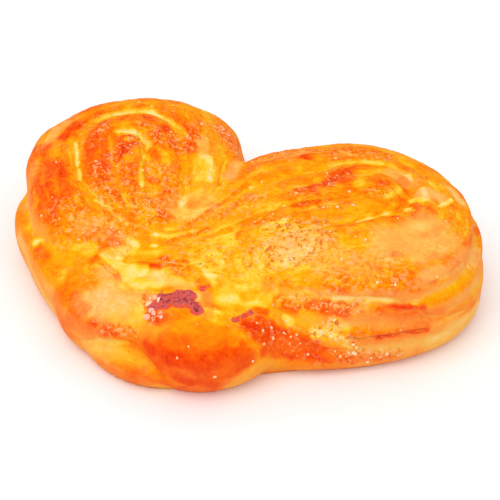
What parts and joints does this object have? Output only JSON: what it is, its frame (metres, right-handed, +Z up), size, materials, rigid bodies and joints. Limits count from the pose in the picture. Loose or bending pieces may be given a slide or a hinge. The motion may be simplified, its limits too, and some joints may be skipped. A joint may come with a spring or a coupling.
{
  "type": "sugar bun",
  "caption": "Heart-shaped sweet yeast bun: a rolled dough split and opened so that its layers show as nested loops on two lobes, with an egg-washed crust and coarse sugar.",
  "frame": {"origin": "on the table, under the middle of the bun's bounding box", "axes": "+X towards the right lobe along the bun's longest side, -Y towards the heart's tip, +Z up"},
  "size_m": [0.1362, 0.098, 0.0317],
  "materials": {
    "baked_dough": "baked sweet dough under a thin shine of egg wash, with coarse sugar on it"
  },
  "bodies": {
    "root": {"bun": "baked_dough"}
  },
  "joints": []
}
